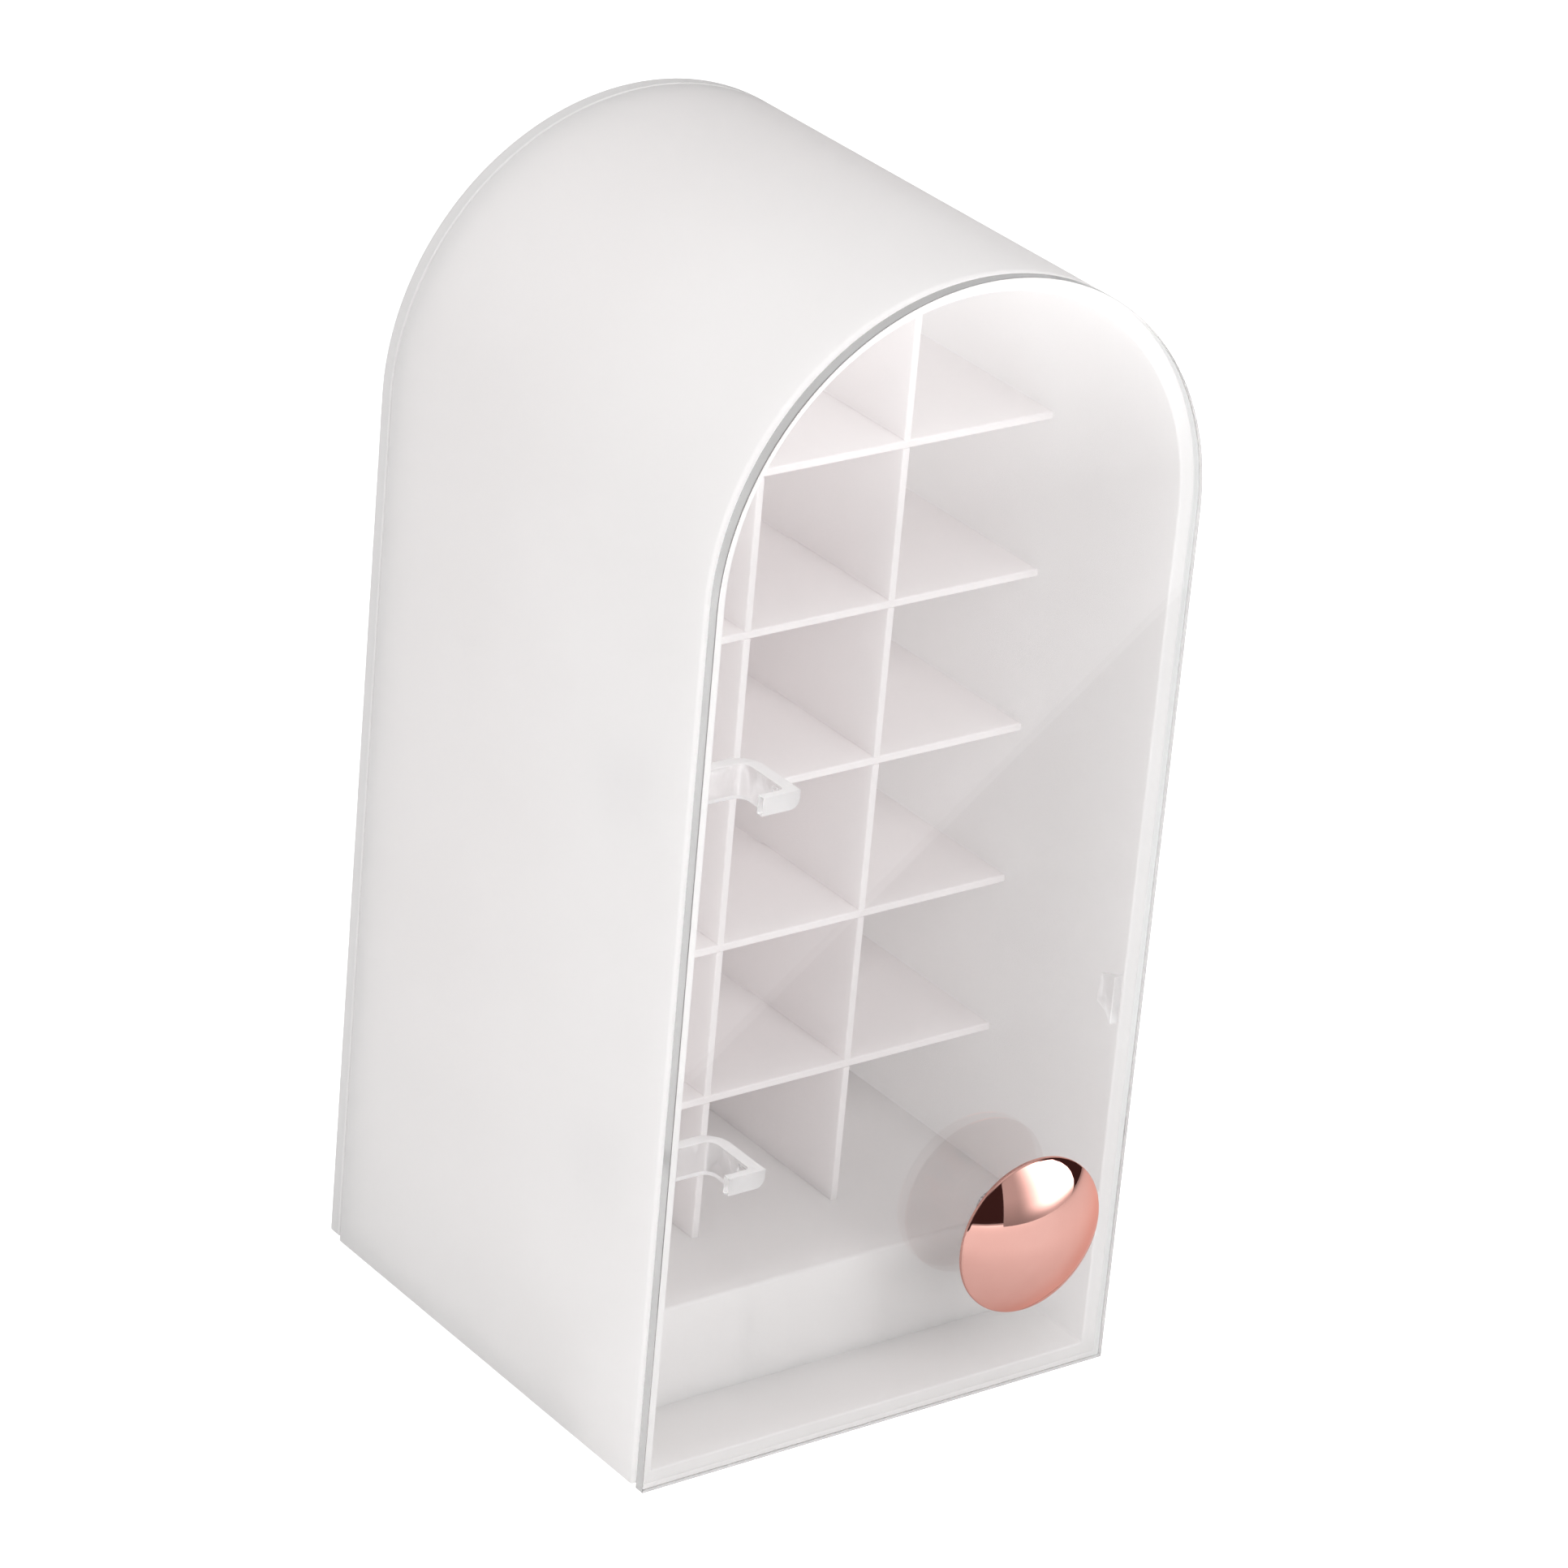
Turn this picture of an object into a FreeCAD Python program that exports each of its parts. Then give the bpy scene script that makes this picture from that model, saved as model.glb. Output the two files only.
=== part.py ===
import FreeCAD, Part
import math
import os

import Sketcher

# A lipstick organizer: a white arch-topped cabinet with a grid of pigeon-holes
# on a raised step, closed by one clear hinged door with a round knob.
# Millimetres. X runs to the right as seen from the front, Y to the back, Z up.
# The origin is on the table, under the middle of the width and of the whole
# depth, knob included.

# Each driving size, with what it measures.
SIZES = [
    ("width", 110.0, "casing and door, side to side"),
    ("body_height", 237.0, "casing's underside to the top of the arch"),
    ("total_depth", 111.5, "door's front face to the back panel's rear face"),
    ("front_back", 48.25, "door's front face to the origin"),
    ("wall", 3.5, "casing's side and top wall"),
    ("floor_thick", 3.0, "casing's floor"),
    ("door_thick", 2.5, "clear door"),
    ("door_gap", 1.0, "door's inner face to the casing's rim"),
    ("back_thick", 3.5, "back panel"),
    ("back_rise", 1.0, "back panel's lower edge above the casing's underside"),
    ("spigot", 1.0, "back panel's step that enters the casing"),
    ("play", 0.15, "clearance between fitted sheets"),
    ("snug", 0.02, "clearance of a fixed pin or screw in its hole"),
    ("foot_rise", 0.8, "feet standing out below the casing"),
    ("foot_recess", 0.6, "pocket that a foot is glued into"),
    ("foot_radius", 4.0, "foot pad"),
    ("foot_side", 10.0, "foot's middle to the casing's side"),
    ("foot_end", 14.0, "foot's middle to the door's front or the back"),
    ("rim_round", 0.8, "outer edge of the casing's rim"),
    ("soft_edge", 0.4, "small rounded edge"),
    ("door_edge", 0.3, "polished edge of the door"),
    ("step_back", 22.1, "door's front face to the step's front"),
    ("step_top", 24.7, "underside to the top of the step"),
    ("step_wall", 2.0, "step's own wall"),
    ("grid_back", 42.2, "door's front face to the grid's front edges"),
    ("column_half", 16.65, "middle of the width to a divider's middle"),
    ("sheet", 1.6, "dividers and shelves"),
    ("slot_play", 0.1, "cross-lap slot wider than the sheet"),
    ("first_shelf", 55.2, "underside to the lowest shelf's middle"),
    ("row_pitch", 32.8, "shelf to shelf"),
    ("top_shelf_half", 51.05, "half width of the top shelf, under the arch"),
    ("divider_top", 230.3, "underside to a divider's top edge"),
    ("pivot_side", 5.3, "hinge pin's axis to the casing's side"),
    ("pivot_back", 17.5, "door's front face to the hinge pin's axis"),
    ("low_hinge", 60.0, "underside to the lower hinge's middle"),
    ("high_hinge", 138.8, "underside to the upper hinge's middle"),
    ("arm_height", 7.0, "hinge arm's width, upright"),
    ("arm_thick", 2.6, "hinge arm's thickness"),
    ("arm_reach", 18.0, "pin's axis to the arm's far side"),
    ("arm_bend", 5.0, "outer radius of the arm's elbow"),
    ("arm_foot", 8.3, "length of the foot glued to the door"),
    ("toe_thick", 1.6, "thickness of that foot"),
    ("toe_height", 3.7, "foot's width, upright, under the arm's top"),
    ("toe_run", 6.5, "depth behind the door over which the arm is as narrow"),
    ("toe_round", 2.0, "foot's lower outer corner"),
    ("knuckle_radius", 1.5, "hinge knuckles"),
    ("pin_radius", 0.75, "hinge pin"),
    ("pin_fit", 0.05, "running clearance of the pin in the arm"),
    ("pin_head", 1.35, "radius of the hinge pin's head"),
    ("bracket_height", 13.0, "hinge bracket, over its two lugs"),
    ("lug_height", 2.85, "one lug of the bracket"),
    ("leaf_thick", 1.2, "bracket's leaf on the wall"),
    ("leaf_start", 2.3, "pin's axis to the leaf's front edge"),
    ("leaf_end", 14.0, "pin's axis to the leaf's rear edge"),
    ("knob_side", 25.6, "middle of the width to the knob's axis"),
    ("knob_height", 39.8, "underside to the knob's axis"),
    ("knob_radius", 16.5, "knob's cap"),
    ("knob_stem", 8.2, "door's front face to the cap's underside"),
    ("knob_rim", 0.9, "cap's edge band"),
    ("knob_dome", 5.9, "dome above the edge band"),
    ("stem_foot", 6.5, "radius of the stem's foot on the door"),
    ("foot_band", 1.2, "straight part of the stem's foot"),
    ("stem_neck", 4.6, "radius of the stem's neck"),
    ("neck_start", 3.4, "door's front face to the straight neck"),
    ("neck_flare", 1.8, "neck's widening under the cap"),
    ("screw_radius", 2.0, "knob screw's shank"),
    ("screw_reach", 5.5, "screw's engagement in the stem"),
    ("tap_spare", 0.5, "threaded hole beyond the screw's end"),
    ("tap_point", 1.5, "conical end of the threaded hole"),
    ("screw_head", 3.8, "radius of the screw's head"),
    ("head_thick", 2.2, "screw's head"),
    ("cross_half", 0.45, "half width of the screw's cross recess"),
    ("cross_reach", 2.1, "arm of the screw's cross recess"),
    ("cross_deep", 1.2, "depth of the screw's cross recess"),
    ("washer_radius", 4.6, "washer"),
    ("washer_thick", 0.8, "washer"),
    ("hook_wall", 1.3, "hook's tongue to the casing's inner wall"),
    ("hook_sheet", 1.0, "hook's tongue"),
    ("hook_base", 75.2, "underside to the lower end of the hook's root"),
    ("hook_tall", 10.2, "root of the hook on the door, upright"),
    ("root_round", 6.6, "radius of the root's curved rear"),
    ("root_thick", 1.9, "root, side to side"),
    ("hook_deep", 5.7, "tongue's reach behind the door"),
    ("tip_base", 77.6, "underside to the lower corner of the tongue's end"),
    ("tip_tall", 5.8, "tongue's end, upright"),
    ("barb", 0.7, "barb at the tongue's end, standing out to the wall"),
    ("barb_long", 1.4, "barb, front to back"),
    ("ridge", 0.5, "ridge on the wall that the barb snaps behind"),
]
SHELF_COUNT = 5


class Size:
    # A number together with the sheet expression that gives it, so that a
    # feature's first value and its binding always agree.
    def __init__(self, number, text):
        self.number = number
        self.text = text

    def __add__(self, other):
        other = as_size(other)
        return Size(self.number + other.number, f"({self.text} + {other.text})")

    def __sub__(self, other):
        other = as_size(other)
        return Size(self.number - other.number, f"({self.text} - {other.text})")

    def __mul__(self, factor):
        return Size(self.number * factor, f"({self.text} * {factor})")

    def __neg__(self):
        return self * -1


def as_size(value):
    if isinstance(value, Size):
        return value
    return Size(float(value), f"({value})")


class Sheet:
    # The spreadsheet's cells as attributes, each a Size.
    def __init__(self, doc):
        table = doc.addObject("Spreadsheet::Sheet", "Sizes")
        for row, (alias, number, note) in enumerate(SIZES, start=1):
            table.set(f"A{row}", alias)
            table.set(f"B{row}", str(number))
            table.set(f"C{row}", note)
            table.setAlias(f"B{row}", alias)
            setattr(self, alias, Size(number, f"Sizes.{alias}"))


doc = FreeCAD.newDocument("lipstick_organizer")
size = Sheet(doc)
doc.recompute()
nodes = []

# Places that several pieces share, measured from the origin.
front = -size.front_back
door_back = front + size.door_thick
rim = door_back + size.door_gap
rear = front + size.total_depth
panel = rear - size.back_thick
half = size.width * 0.5
inside = half - size.wall
under = size.foot_rise
floor = under + size.floor_thick
spring = under + size.body_height - half
step_front = front + size.step_back
step_top = under + size.step_top
grid_front = front + size.grid_back
grid_rear = panel - size.spigot - size.play
grid_middle = (grid_front + grid_rear) * 0.5
pivot_x = -half + size.pivot_side
pivot_y = front + size.pivot_back
knob_height = under + size.knob_height
barb_rear = door_back + size.hook_deep
barb_front = barb_rear - size.barb_long
tip_low = under + size.tip_base


def bind(thing, name, length):
    thing.setExpression(name, as_size(length).text)


def new_body(label):
    body = doc.addObject("PartDesign::Body", label)
    body.Label = label
    nodes.append(body)
    return body


def place(body, x, y, z):
    # A piece drawn about its own middle is carried to its place.
    bind(body, "Placement.Base.x", x)
    bind(body, "Placement.Base.y", y)
    bind(body, "Placement.Base.z", z)


def new_sketch(body, name, role, offset=0.0):
    # The normal of an XY sketch is +Z, of an XZ sketch -Y, of a YZ sketch +X.
    sketch = body.newObject("Sketcher::SketchObject", name)
    plane = [feature for feature in body.Origin.OriginFeatures if feature.Role == role][0]
    sketch.AttachmentSupport = [(plane, "")]
    sketch.MapMode = "FlatFace"
    bind(sketch, "AttachmentOffset.Base.z", offset)
    return sketch


def point(x, y):
    return FreeCAD.Vector(as_size(x).number, as_size(y).number, 0)


def dimension(sketch, kind, length, *where):
    # A sketch dimension that follows the sheet.
    length = as_size(length)
    index = sketch.addConstraint(Sketcher.Constraint(kind, *where, length.number))
    sketch.setExpression(f"Constraints[{index}]", length.text)


def hold_point(sketch, shape, end, x, y):
    dimension(sketch, "DistanceX", x, -1, 1, shape, end)
    dimension(sketch, "DistanceY", y, -1, 1, shape, end)


def arc_between(start, end, centre):
    # The arc that runs counter-clockwise from start to end.
    ring = Part.Circle(centre, FreeCAD.Vector(0, 0, 1), centre.distanceToPoint(start))
    return Part.ArcOfCircle(ring, ring.parameter(start), ring.parameter(end))


def outline(sketch, corners, centres=None):
    # A closed outline through the corners. Side i runs from corner i to the
    # next one: straight, or round the centre given for it.
    centres = centres or {}
    first = sketch.GeometryCount
    points = [point(x, y) for x, y in corners]
    count = len(points)
    for i in range(count):
        start = points[i]
        end = points[(i + 1) % count]
        if i in centres:
            side = arc_between(start, end, centres[i])
        else:
            side = Part.LineSegment(start, end)
        sketch.addGeometry(side, False)
    for i in range(count):
        following = first + (i + 1) % count
        sketch.addConstraint(Sketcher.Constraint("Coincident", first + i, 2, following, 1))
    for i, (x, y) in enumerate(corners):
        hold_point(sketch, first + i, 1, x, y)
    return first


def rectangle(sketch, left, low, right, high):
    outline(sketch, [(left, low), (right, low), (right, high), (left, high)])


def circle(sketch, x, y, radius):
    shape = Part.Circle(point(x, y), FreeCAD.Vector(0, 0, 1), as_size(radius).number)
    ring = sketch.addGeometry(shape, False)
    dimension(sketch, "Radius", radius, ring)
    hold_point(sketch, ring, 3, x, y)


def arch_outline(sketch, radius, low):
    # Two upright sides, a half circle over them and a level foot.
    corners = [(-radius, low), (radius, low), (radius, spring), (-radius, spring)]
    points = [point(x, y) for x, y in corners]
    base = sketch.addGeometry(Part.LineSegment(points[0], points[1]), False)
    right = sketch.addGeometry(Part.LineSegment(points[1], points[2]), False)
    arc = sketch.addGeometry(arc_between(points[2], points[3], point(0, spring)), False)
    left = sketch.addGeometry(Part.LineSegment(points[3], points[0]), False)
    sketch.addConstraint(Sketcher.Constraint("Coincident", base, 2, right, 1))
    sketch.addConstraint(Sketcher.Constraint("Tangent", right, 2, arc, 1))
    sketch.addConstraint(Sketcher.Constraint("Tangent", arc, 2, left, 1))
    sketch.addConstraint(Sketcher.Constraint("Coincident", left, 2, base, 1))
    sketch.addConstraint(Sketcher.Constraint("Vertical", right))
    sketch.addConstraint(Sketcher.Constraint("Horizontal", base))
    dimension(sketch, "Radius", radius, arc)
    dimension(sketch, "DistanceY", low, -1, 1, base, 1)
    hold_point(sketch, arc, 3, 0, spring)


def pad(body, sketch, length, reverse=False, centred=False):
    # Adds material along the sketch's normal, or in reverse against it.
    feature = body.newObject("PartDesign::Pad", sketch.Name + "_pad")
    feature.Profile = sketch
    feature.Reversed = reverse
    feature.Midplane = centred
    bind(feature, "Length", length)
    sketch.Visibility = False
    body.Tip = feature
    return feature


def pocket(body, sketch, length, reverse=False, centred=False):
    # Cuts against the sketch's normal, or in reverse along it.
    doc.recompute()
    before = body.Tip.Shape.Volume
    feature = body.newObject("PartDesign::Pocket", sketch.Name + "_cut")
    feature.Profile = sketch
    feature.Reversed = reverse
    feature.Midplane = centred
    bind(feature, "Length", length)
    sketch.Visibility = False
    body.Tip = feature
    doc.recompute()
    if feature.Shape.Volume > before - 0.01:
        raise ValueError(f"{feature.Label} cuts nothing")
    return feature


def dress(body, kind, length, chosen):
    # Rounds or chamfers the edges whose middle point passes the test.
    doc.recompute()
    base = body.Tip
    names = []
    for number, edge in enumerate(base.Shape.Edges, start=1):
        middle = edge.valueAt((edge.FirstParameter + edge.LastParameter) / 2)
        if chosen(middle):
            names.append(f"Edge{number}")
    if not names:
        raise ValueError(f"no edge found on {base.Label}")
    feature = body.newObject(f"PartDesign::{kind}", f"{body.Label}_{kind.lower()}")
    feature.Base = (base, names)
    bind(feature, "Radius" if kind == "Fillet" else "Size", length)
    body.Tip = feature


def near(value, length):
    return abs(value - as_size(length).number) < 0.01


def upright_at(x, y):
    return lambda middle: near(middle.x, x) and near(middle.y, y)


def arch_radius(middle):
    # Distance from the arch's centre, and below the spring from the mid-plane.
    if middle.z >= spring.number:
        return math.hypot(middle.x, middle.z - spring.number)
    return abs(middle.x)


def foot_places():
    side = half - size.foot_side
    ahead = front + size.foot_end
    behind = rear - size.foot_end
    return [(-side, ahead), (side, ahead), (-side, behind), (side, behind)]


def casing():
    # Side walls, round top and floor in one moulding, open at front and rear.
    body = new_body("casing")
    outside = new_sketch(body, "casing_outside", "XZ_Plane", -rim)
    arch_outline(outside, half, under)
    pad(body, outside, panel - rim, reverse=True)
    hollow = new_sketch(body, "casing_inside", "XZ_Plane", -rim)
    arch_outline(hollow, inside, floor)
    pocket(body, hollow, panel - rim)
    recess = new_sketch(body, "casing_recesses", "XY_Plane", under)
    for x, y in foot_places():
        circle(recess, x, y, size.foot_radius + size.play)
    pocket(body, recess, size.foot_recess, reverse=True)

    def on_outside(middle):
        return near(arch_radius(middle), half) or near(middle.z, under)

    dress(body, "Fillet", size.rim_round, lambda m: near(m.y, rim) and on_outside(m))
    dress(body, "Fillet", size.soft_edge, lambda m: near(m.y, rim) and not on_outside(m)
          and (near(arch_radius(m), inside) or near(m.z, floor)))
    dress(body, "Chamfer", size.soft_edge, lambda m: near(m.y, panel) and on_outside(m))
    catch_ridge(body)


def catch_ridge(body):
    # A low upright ridge on the right wall, just in front of the hook's barb.
    # It starts half a wall deep, so that it joins the wall.
    root = inside + size.wall * 0.5
    face = new_sketch(body, "ridge_outline", "YZ_Plane", root)
    ridge_rear = barb_front - size.play
    rectangle(face, ridge_rear - size.barb_long, tip_low, ridge_rear, tip_low + size.tip_tall)
    pad(body, face, root - inside + size.ridge, reverse=True)
    crest = inside - size.ridge
    dress(body, "Chamfer", size.ridge * 0.6,
          lambda m: near(m.x, crest) and near(m.z, tip_low + size.tip_tall * 0.5))


def feet():
    # Four glued pads; the casing stands on them.
    labels = ["foot_front_left", "foot_front_right", "foot_back_left", "foot_back_right"]
    for label, (x, y) in zip(labels, foot_places()):
        body = new_body(label)
        disc = new_sketch(body, label + "_disc", "XY_Plane")
        circle(disc, 0, 0, size.foot_radius)
        pad(body, disc, size.foot_rise + size.foot_recess)
        dress(body, "Fillet", size.door_edge, lambda m: near(m.z, 0))
        place(body, x, y, 0)


def back_panel():
    # The rear plate, with a low step that enters the casing.
    body = new_body("back_panel")
    plate = new_sketch(body, "back_plate", "XZ_Plane", -panel)
    low = under + size.back_rise
    arch_outline(plate, half, low)
    pad(body, plate, size.back_thick, reverse=True)
    step = new_sketch(body, "back_step", "XZ_Plane", -panel)
    arch_outline(step, inside - size.play, floor + size.play)
    pad(body, step, size.spigot)
    dress(body, "Fillet", size.rim_round, lambda m: near(m.y, rear))
    dress(body, "Chamfer", size.soft_edge,
          lambda m: near(m.y, panel) and (near(arch_radius(m), half) or near(m.z, low)))


def raised_base():
    # The hollow step under the grid, open below, with a rib under each divider.
    body = new_body("raised_base")
    side = inside - size.play
    top = new_sketch(body, "step_outline", "XY_Plane", floor)
    rectangle(top, -side, step_front, side, grid_rear)
    pad(body, top, step_top - floor)
    hollows = new_sketch(body, "step_hollows", "XY_Plane", floor)
    rib_in = size.column_half - size.sheet * 0.5
    rib_out = size.column_half + size.sheet * 0.5
    wall_in = side - size.step_wall
    for left, right in ((-wall_in, -rib_out), (-rib_in, rib_in), (rib_out, wall_in)):
        rectangle(hollows, left, step_front + size.step_wall, right, grid_rear - size.step_wall)
    pocket(body, hollows, step_top - floor - size.step_wall, reverse=True)
    dress(body, "Fillet", size.rim_round, lambda m: near(m.y, step_front) and near(m.z, step_top))


def shelf_height(row):
    return under + size.first_shelf + size.row_pitch * row


def dividers():
    # Upright sheets, slotted from the front to the middle at every shelf.
    slot_half = (size.sheet + size.slot_play) * 0.5
    for label, side in (("divider_left", -1), ("divider_right", 1)):
        body = new_body(label)
        sheet = new_sketch(body, label + "_sheet", "YZ_Plane", -size.sheet * 0.5)
        rectangle(sheet, grid_front, step_top, grid_rear, under + size.divider_top)
        pad(body, sheet, size.sheet)
        slot = new_sketch(body, label + "_slot", "YZ_Plane", -size.sheet * 0.5)
        low = shelf_height(0) - slot_half
        rectangle(slot, grid_front - 1, low, grid_middle, low + slot_half * 2)
        cut = pocket(body, slot, size.sheet, reverse=True)
        rows = body.newObject("PartDesign::LinearPattern", label + "_slots")
        rows.Originals = [cut]
        rows.Direction = (slot, ["V_Axis"])
        rows.Mode = "Spacing"
        rows.Occurrences = SHELF_COUNT
        bind(rows, "Offset", size.row_pitch)
        body.Tip = rows
        place(body, size.column_half * side, 0, 0)


def shelves():
    # Level sheets, slotted from the rear to the middle at each divider.
    slot_half = (size.sheet + size.slot_play) * 0.5
    for row in range(SHELF_COUNT):
        label = f"shelf_{row + 1}"
        body = new_body(label)
        side = size.top_shelf_half if row == SHELF_COUNT - 1 else inside - size.play
        sheet = new_sketch(body, label + "_sheet", "XY_Plane", -size.sheet * 0.5)
        rectangle(sheet, -side, grid_front, side, grid_rear)
        pad(body, sheet, size.sheet)
        slots = new_sketch(body, label + "_slots", "XY_Plane", -size.sheet * 0.5)
        for middle in (-size.column_half, size.column_half):
            rectangle(slots, middle - slot_half, grid_middle, middle + slot_half, grid_rear + 1)
        pocket(body, slots, size.sheet, reverse=True)
        place(body, 0, 0, shelf_height(row))


def door_panel():
    # The clear sheet, with a plain hole for the knob's screw.
    body = new_body("door_panel")
    sheet = new_sketch(body, "door_sheet", "XZ_Plane", -front)
    arch_outline(sheet, half, under)
    pad(body, sheet, size.door_thick, reverse=True)
    spot = new_sketch(body, "door_hole_spot", "XZ_Plane", -front)
    circle(spot, size.knob_side, knob_height, size.screw_radius + size.play)
    doc.recompute()
    solid = body.Tip.Shape.Volume
    hole = body.newObject("PartDesign::Hole", "door_hole")
    hole.Profile = spot
    hole.DepthType = "ThroughAll"
    hole.Threaded = False
    bind(hole, "Diameter", (size.screw_radius + size.play) * 2)
    spot.Visibility = False
    body.Tip = hole
    doc.recompute()
    if hole.Shape.Volume > solid - 1:
        raise ValueError("the door's hole cuts nothing")
    dress(body, "Fillet", size.door_edge, lambda m: near(arch_radius(m), half) or near(m.z, under))


def hinges():
    for place_name, height in (("lower", size.low_hinge), ("upper", size.high_hinge)):
        hinge_bracket("hinge_bracket_" + place_name, under + height)
        hinge_pin("hinge_pin_" + place_name, under + height)
        hinge_arm("hinge_arm_" + place_name, under + height)


def hinge_bracket(label, height):
    # A leaf glued to the wall behind the pin, with a lug over and under the arm.
    body = new_body(label)
    wall_side = size.wall - size.pivot_side
    leaf = new_sketch(body, label + "_leaf", "XY_Plane")
    rectangle(leaf, wall_side, size.leaf_start, wall_side + size.leaf_thick, size.leaf_end)
    pad(body, leaf, size.bracket_height, centred=True)
    lug_levels = {
        "over": size.bracket_height * 0.5 - size.lug_height,
        "under": size.bracket_height * -0.5,
    }
    for name, low in lug_levels.items():
        web = new_sketch(body, f"{label}_{name}_web", "XY_Plane", low)
        rectangle(web, -size.knuckle_radius, 0, 0, size.leaf_start + size.leaf_thick * 0.5)
        pad(body, web, size.lug_height)
        ring = new_sketch(body, f"{label}_{name}_lug", "XY_Plane", low)
        circle(ring, 0, 0, size.knuckle_radius)
        pad(body, ring, size.lug_height)
    bore = new_sketch(body, label + "_bore", "XY_Plane")
    circle(bore, 0, 0, size.pin_radius + size.snug)
    pocket(body, bore, size.bracket_height * 1.2, centred=True)
    place(body, pivot_x, pivot_y, height)


def hinge_pin(label, height):
    # A plain pin with a low round head that rests on the upper lug.
    body = new_body(label)
    top = size.bracket_height * 0.5
    shaft = new_sketch(body, label + "_shaft", "XY_Plane", -top)
    circle(shaft, 0, 0, size.pin_radius)
    pad(body, shaft, size.bracket_height)
    cap = new_sketch(body, label + "_head", "XY_Plane", top)
    circle(cap, 0, 0, size.pin_head)
    pad(body, cap, size.pin_radius)
    dress(body, "Fillet", size.soft_edge, lambda m: near(m.z, top + size.pin_radius))
    place(body, pivot_x, pivot_y, height)


def hinge_arm(label, height):
    # A goose-neck: out from the pin, round the elbow and forward to a foot on the
    # door. Its last part is narrower, with the underside raised.
    body = new_body(label)
    reach = size.arm_reach
    back = size.knuckle_radius
    door = size.door_thick - size.pivot_back
    leg = reach - size.arm_thick
    foot = reach - size.arm_foot
    strip = new_sketch(body, label + "_strip", "XY_Plane")
    outline(strip, [
        (0, back - size.arm_thick),
        (leg, back - size.arm_thick),
        (leg, door + size.toe_thick),
        (foot, door + size.toe_thick),
        (foot, door),
        (reach, door),
        (reach, back),
        (0, back),
    ])
    pad(body, strip, size.arm_height, centred=True)
    dress(body, "Fillet", size.arm_bend, upright_at(reach, back))
    dress(body, "Fillet", size.arm_bend - size.arm_thick, upright_at(leg, back - size.arm_thick))
    dress(body, "Fillet", size.toe_thick * 0.5, upright_at(leg, door + size.toe_thick))
    ring = new_sketch(body, label + "_knuckle", "XY_Plane")
    circle(ring, 0, 0, size.knuckle_radius)
    pad(body, ring, size.arm_height, centred=True)
    bore = new_sketch(body, label + "_bore", "XY_Plane")
    circle(bore, 0, 0, size.pin_radius + size.pin_fit)
    pocket(body, bore, size.arm_height * 1.2, centred=True)
    toe_low = size.arm_height * 0.5 - size.toe_height
    narrow = new_sketch(body, label + "_toe", "YZ_Plane", foot - 1)
    rectangle(narrow, door - 1, -size.arm_height, door + size.toe_run, toe_low)
    pocket(body, narrow, size.arm_foot + 2, reverse=True)
    dress(body, "Fillet", size.toe_round, lambda m: near(m.x, reach) and near(m.z, toe_low))
    place(body, pivot_x, pivot_y, height)


def knob():
    # A turned mushroom: foot, waisted stem and a wide low dome with a narrow
    # edge band. The dome is a piece of a ball centred on the knob's axis.
    body = new_body("knob")
    cap = -size.knob_stem
    band = cap - size.knob_rim
    tip = band - size.knob_dome
    tap = size.screw_radius + size.snug
    tap_end = -size.screw_reach - size.tap_spare
    radius = size.knob_radius.number
    dome = size.knob_dome.number
    ball = (radius ** 2 + dome ** 2) / (2 * dome)
    profile = new_sketch(body, "knob_profile", "XY_Plane")
    crown = outline(profile, [
        (0, tip),
        (size.knob_radius, band),
        (size.knob_radius, cap),
        (size.stem_neck + size.neck_flare, cap),
        (size.stem_neck, cap + size.neck_flare),
        (size.stem_neck, -size.neck_start),
        (size.stem_foot, -size.foot_band),
        (size.stem_foot, 0),
        (tap, 0),
        (tap, tap_end),
        (0, tap_end - size.tap_point),
    ], {0: point(0, tip.number + ball)})
    profile.addConstraint(Sketcher.Constraint("PointOnObject", crown, 3, -2))
    turned = body.newObject("PartDesign::Revolution", "knob_turned")
    turned.Profile = profile
    turned.ReferenceAxis = (profile, ["V_Axis"])
    turned.Angle = 360.0
    profile.Visibility = False
    body.Tip = turned
    dress(body, "Fillet", size.door_edge, lambda m: near(math.hypot(m.x, m.z), radius)
          and (near(m.y, cap) or near(m.y, band)))
    place(body, size.knob_side, front, knob_height)


def knob_washer():
    body = new_body("knob_washer")
    ring = new_sketch(body, "washer_ring", "XZ_Plane")
    circle(ring, 0, 0, size.washer_radius)
    circle(ring, 0, 0, size.screw_radius + size.play)
    pad(body, ring, size.washer_thick, reverse=True)
    place(body, size.knob_side, door_back, knob_height)


def knob_screw():
    # A pan-head screw with a cross recess, from inside the door into the knob.
    body = new_body("knob_screw")
    seat = size.door_thick + size.washer_thick
    top = seat + size.head_thick
    shank = new_sketch(body, "screw_shank", "XZ_Plane", -seat)
    circle(shank, 0, 0, size.screw_radius)
    pad(body, shank, seat + size.screw_reach)
    head = new_sketch(body, "screw_head", "XZ_Plane", -seat)
    circle(head, 0, 0, size.screw_head)
    pad(body, head, size.head_thick, reverse=True)
    dress(body, "Fillet", size.head_thick * 0.5, lambda m: near(m.y, top))
    cross = new_sketch(body, "screw_cross", "XZ_Plane", -top)
    thin = size.cross_half
    far = size.cross_reach
    outline(cross, [
        (far, -thin), (far, thin), (thin, thin), (thin, far), (-thin, far), (-thin, thin),
        (-far, thin), (-far, -thin), (-thin, -thin), (-thin, -far), (thin, -far), (thin, -thin),
    ])
    pocket(body, cross, size.cross_deep, reverse=True)
    place(body, size.knob_side, front, knob_height)


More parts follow.
